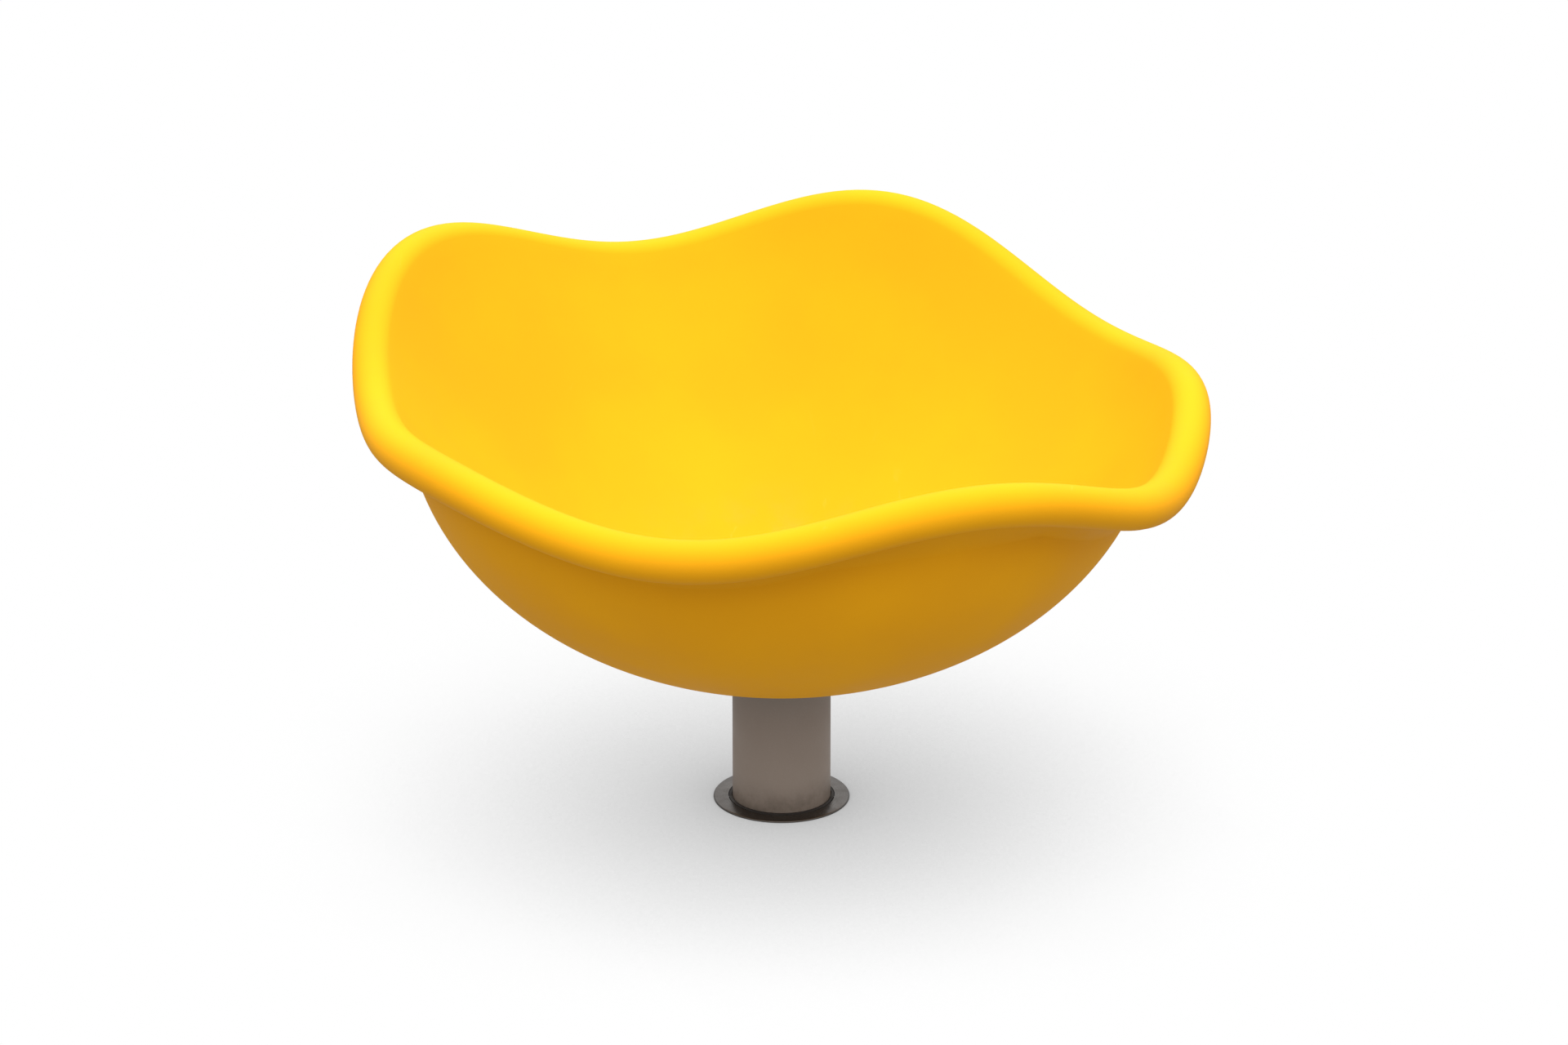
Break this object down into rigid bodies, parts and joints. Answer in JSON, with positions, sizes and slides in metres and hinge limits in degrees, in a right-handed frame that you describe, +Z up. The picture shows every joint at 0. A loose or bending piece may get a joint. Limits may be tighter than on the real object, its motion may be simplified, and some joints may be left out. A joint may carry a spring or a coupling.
{
  "type": "spinning bowl seat",
  "caption": "Playground spinning seat: a wavy-rimmed double-skinned bowl that turns freely on sealed bearings in the top of a short fixed ground post.",
  "frame": {"origin": "centre of the underside of the base flange, on the spin axis", "axes": "+Z up along the spin axis; -Y is the low side of the rim and +X is 5.6 degrees short of the rim's first high; the finished ground is 60 mm above the origin"},
  "size_m": [0.6534, 0.6661, 0.4651],
  "materials": {
    "bowl_plastic": "satin rotomoulded polyethylene",
    "shroud_plastic": "moulded, fine grain",
    "cage_plastic": "moulded nylon",
    "post_coat": "satin powder coat",
    "collar_steel": "dark, polished, lightly scuffed",
    "stainless_steel": "brushed",
    "galvanised_steel": "hot-dip galvanised",
    "bearing_steel": "ground",
    "spring_steel": "blackened",
    "rubber": "matt"
  },
  "bodies": {
    "post": {"base_flange": "galvanised_steel", "base_gusset_1": "galvanised_steel", "base_gusset_2": "galvanised_steel", "base_gusset_3": "galvanised_steel", "base_gusset_4": "galvanised_steel", "post_tube": "post_coat", "ground_collar": "collar_steel", "collar_seal": "rubber", "bearing_housing": "galvanised_steel", "upper_outer_ring": "bearing_steel", "lower_outer_ring": "bearing_steel", "upper_bearing_top_seal": "rubber", "upper_bearing_bottom_seal": "rubber", "lower_bearing_top_seal": "rubber", "lower_bearing_bottom_seal": "rubber", "housing_circlip": "spring_steel"},
    "spinner": {"bowl": "bowl_plastic", "clamp_disc": "stainless_steel", "bowl_bolt_1": "stainless_steel", "bowl_bolt_2": "stainless_steel", "bowl_bolt_3": "stainless_steel", "bowl_bolt_4": "stainless_steel", "mounting_plate": "galvanised_steel", "spindle": "galvanised_steel", "spindle_spacer": "galvanised_steel", "upper_inner_ring": "bearing_steel", "lower_inner_ring": "bearing_steel", "tab_washer": "galvanised_steel", "lock_nut": "galvanised_steel", "dust_seal": "rubber", "hub_shroud": "shroud_plastic", "shroud_screw_1": "stainless_steel", "shroud_screw_2": "stainless_steel", "shroud_screw_3": "stainless_steel", "shroud_screw_4": "stainless_steel"},
    "cages": {"upper_cage": "cage_plastic", "lower_cage": "cage_plastic", "upper_ball_1": "bearing_steel", "upper_ball_2": "bearing_steel", "upper_ball_3": "bearing_steel", "upper_ball_4": "bearing_steel", "upper_ball_5": "bearing_steel", "upper_ball_6": "bearing_steel", "upper_ball_7": "bearing_steel", "upper_ball_8": "bearing_steel", "upper_ball_9": "bearing_steel", "lower_ball_1": "bearing_steel", "lower_ball_2": "bearing_steel", "lower_ball_3": "bearing_steel", "lower_ball_4": "bearing_steel", "lower_ball_5": "bearing_steel", "lower_ball_6": "bearing_steel", "lower_ball_7": "bearing_steel", "lower_ball_8": "bearing_steel", "lower_ball_9": "bearing_steel"}
  },
  "joints": [
    {"name": "spin", "type": "hinge", "parent": "post", "child": "spinner", "pos_m": [0, 0, 0.1743], "axis": [0, 0, 1], "continuous": true},
    {"name": "cage_spin", "type": "hinge", "parent": "post", "child": "cages", "pos_m": [0, 0, 0.1743], "axis": [0, 0, 1], "continuous": true}
  ],
  "couplings": [
    {"joint": "cage_spin", "follows": "spin", "ratio": 0.3965}
  ]
}
